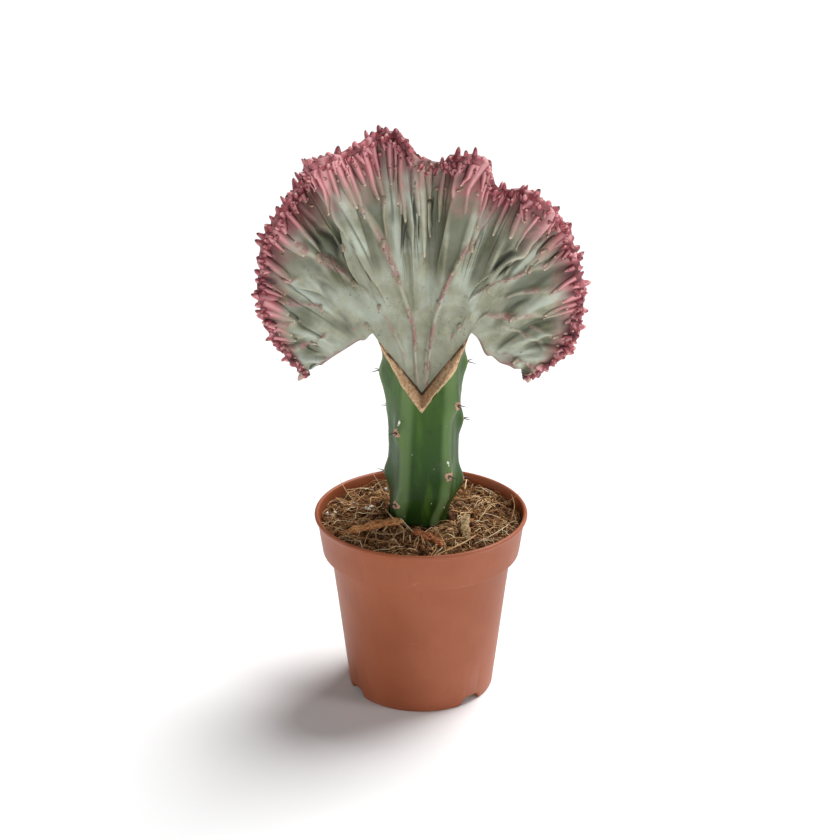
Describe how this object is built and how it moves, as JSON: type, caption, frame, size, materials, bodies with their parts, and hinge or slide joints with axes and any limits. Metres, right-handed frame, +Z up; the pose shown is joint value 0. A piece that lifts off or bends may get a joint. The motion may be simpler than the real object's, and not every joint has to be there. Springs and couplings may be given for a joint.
{
  "type": "potted grafted euphorbia",
  "caption": "Coral euphorbia in a plastic nursery pot: a ruffled, rose-edged grey-green crest grafted in a V on a thorny green stem.",
  "frame": {"origin": "on the surface the pot stands on, under the middle of the pot", "axes": "+Z up the stem, +X to the right of the plant's front, +Y towards its back"},
  "size_m": [0.1603, 0.105, 0.2898],
  "materials": {
    "pot_plastic": "satin",
    "substrate": "matte",
    "coir": "matte",
    "stem_skin": "satin",
    "callus": "matte",
    "crest_skin": "matte"
  },
  "bodies": {
    "root": {"pot": "pot_plastic", "substrate": "substrate", "rootstock": "stem_skin", "graft_callus": "callus", "crest": "crest_skin", "coir_husk_1": "coir", "coir_husk_2": "coir", "coir_husk_3": "coir"}
  },
  "joints": []
}
